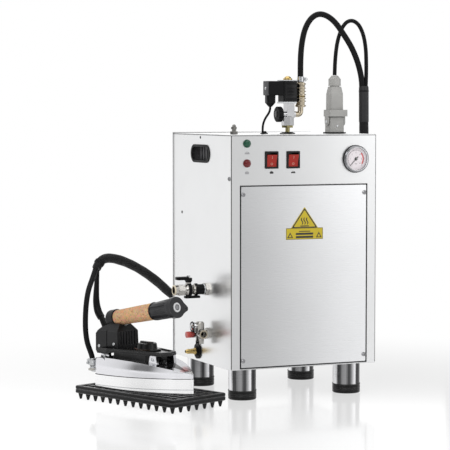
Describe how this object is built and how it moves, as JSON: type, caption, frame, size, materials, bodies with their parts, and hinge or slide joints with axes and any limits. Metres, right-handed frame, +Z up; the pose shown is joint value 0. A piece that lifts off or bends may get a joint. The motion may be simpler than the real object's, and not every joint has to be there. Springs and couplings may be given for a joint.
{
  "type": "steam generator iron",
  "caption": "Steel boiler cabinet on levelling legs with controls, steam valve, drain fittings and hoses, joined to a cork-handled hand iron on a pinned rest mat.",
  "frame": {"origin": "bottom centre of the whole set's box, on the floor", "axes": "+Z up, -Y the cabinet's front with its controls, -X the side with the water and drain fittings"},
  "size_m": [0.5432, 0.3826, 0.6861],
  "materials": {
    "sheet_steel": "satin",
    "leg_chrome": "polished",
    "foot_black": "matt",
    "grip_black": "matt",
    "rubber_black": "matt",
    "lamp_green": "glossy",
    "lamp_red": "glossy",
    "switch_black": "glossy",
    "rocker_red": "glossy",
    "bezel_chrome": "polished",
    "needle_black": "matt",
    "clear": "clear",
    "brass": "satin",
    "valve_chrome": "satin",
    "knob_black": "matt",
    "coil_black": "satin",
    "cable_black": "satin",
    "sleeve_black": "woven",
    "connector_grey": "satin",
    "clamp_steel": "satin",
    "sole_aluminium": "satin",
    "shell_bright": "polished",
    "shield_black": "matt",
    "cork": "matt",
    "cap_grey": "satin",
    "button_grey": "glossy",
    "tank_steel": "satin",
    "pump_paint": "satin",
    "board_green": "satin",
    "pipe_copper": "satin",
    "lever_metal": "satin"
  },
  "bodies": {
    "cabinet": {"base_pan": "sheet_steel", "front_fascia": "sheet_steel", "front_cover": "sheet_steel", "left_side_panel": "sheet_steel", "right_side_panel": "sheet_steel", "rear_panel": "sheet_steel", "top_panel": "sheet_steel", "side_grips": "grip_black", "panel_screws": "clamp_steel", "leg_tubes": "leg_chrome", "green_lamp": "lamp_green", "red_lamp": "lamp_red", "switch_housings": "switch_black", "gauge_case": "bezel_chrome", "gauge_lens": "clear", "panel_grommets": "rubber_black", "steam_port_nipple": "brass", "steam_valve_body": "valve_chrome", "solenoid_coil": "coil_black", "solenoid_plug": "coil_black", "solenoid_cable": "cable_black", "hose_elbow": "brass", "top_hose_clamp": "clamp_steel", "steam_hose": "cable_black", "iron_cable": "cable_black", "hose_sleeve": "sleeve_black", "connector_base": "connector_grey", "connector_hood": "connector_grey", "vent_valve": "valve_chrome", "blowdown_valve": "valve_chrome", "drain_valve": "valve_chrome", "inlet_barb": "brass", "iron_mat": "rubber_black", "boiler_tank": "tank_steel", "boiler_heater": "tank_steel", "feed_pump": "pump_paint", "control_board": "board_green", "internal_pipes": "pipe_copper", "pressure_switch": "coil_black"},
    "foot_front_left": {"front_left_foot": "foot_black"},
    "foot_front_right": {"front_right_foot": "foot_black"},
    "foot_rear_left": {"rear_left_foot": "foot_black"},
    "foot_rear_right": {"rear_right_foot": "foot_black"},
    "iron": {"iron_soleplate": "sole_aluminium", "iron_shell": "shell_bright", "heat_shield": "shield_black", "handle_bracket": "shield_black", "cork_grip": "cork", "handle_front_cap": "cap_grey", "iron_inlet_pipe": "clamp_steel", "cable_boot": "rubber_black"},
    "dial": {"thermostat_dial": "knob_black"},
    "button": {"steam_button": "button_grey"},
    "rocker_boiler": {"boiler_switch_rocker": "rocker_red"},
    "rocker_steam": {"steam_switch_rocker": "rocker_red"},
    "needle": {"gauge_needle": "needle_black"},
    "lever_blowdown": {"blowdown_lever": "knob_black"},
    "lever_drain": {"drain_lever": "lever_metal"},
    "handwheel": {"steam_knob": "knob_black"},
    "latch": {"connector_latch": "connector_grey"}
  },
  "joints": [
    {"name": "iron_lift", "type": "slide", "parent": "cabinet", "child": "iron", "axis": [0, 0, 1], "range_m": [0, 0.1], "deforming": ["steam_hose", "iron_cable", "hose_sleeve"]},
    {"name": "front_left_foot_screw", "type": "hinge", "parent": "cabinet", "child": "foot_front_left", "pos_m": [-0.00076, -0.07399, 0.008], "axis": [0, 0, 1], "continuous": true},
    {"name": "front_right_foot_screw", "type": "hinge", "parent": "cabinet", "child": "foot_front_right", "pos_m": [0.20524, -0.07399, 0.008], "axis": [0, 0, 1], "continuous": true},
    {"name": "rear_left_foot_screw", "type": "hinge", "parent": "cabinet", "child": "foot_rear_left", "pos_m": [-0.00076, 0.11401, 0.008], "axis": [0, 0, 1], "continuous": true},
    {"name": "rear_right_foot_screw", "type": "hinge", "parent": "cabinet", "child": "foot_rear_right", "pos_m": [0.20524, 0.11401, 0.008], "axis": [0, 0, 1], "continuous": true},
    {"name": "boiler_switch_press", "type": "hinge", "parent": "cabinet", "child": "rocker_boiler", "pos_m": [0.03814, -0.10699, 0.422], "axis": [-1, 0, 0], "range_deg": [0, 22]},
    {"name": "steam_switch_press", "type": "hinge", "parent": "cabinet", "child": "rocker_steam", "pos_m": [0.07974, -0.10699, 0.422], "axis": [-1, 0, 0], "range_deg": [0, 22]},
    {"name": "gauge_needle_sweep", "type": "hinge", "parent": "cabinet", "child": "needle", "pos_m": [0.20254, -0.11479, 0.4221], "axis": [0, 1, 0], "range_deg": [0, 270]},
    {"name": "blowdown_lever_turn", "type": "hinge", "parent": "cabinet", "child": "lever_blowdown", "pos_m": [-0.07476, -0.00519, 0.205], "axis": [0, 0, 1], "range_deg": [0, 90]},
    {"name": "drain_lever_turn", "type": "hinge", "parent": "cabinet", "child": "lever_drain", "pos_m": [-0.06576, -0.00969, 0.1241], "axis": [-1, 0, 0], "range_deg": [0, 90]},
    {"name": "handwheel_turn", "type": "hinge", "parent": "cabinet", "child": "handwheel", "pos_m": [0.09574, -0.01999, 0.501], "axis": [-1, 0, 0], "range_deg": [0, 540]},
    {"name": "latch_swing", "type": "hinge", "parent": "cabinet", "child": "latch", "pos_m": [0.20724, -0.02199, 0.487], "axis": [1, 0, 0], "range_deg": [0, 80]},
    {"name": "thermostat_turn", "type": "hinge", "parent": "iron", "child": "dial", "pos_m": [-0.16244, -0.02575, 0.094], "axis": [0, 0, 1], "range_deg": [0, 270]},
    {"name": "steam_button_press", "type": "slide", "parent": "iron", "child": "button", "axis": [-0.3572, 0.9143, -0.1908], "range_m": [0, 0.0025]}
  ]
}
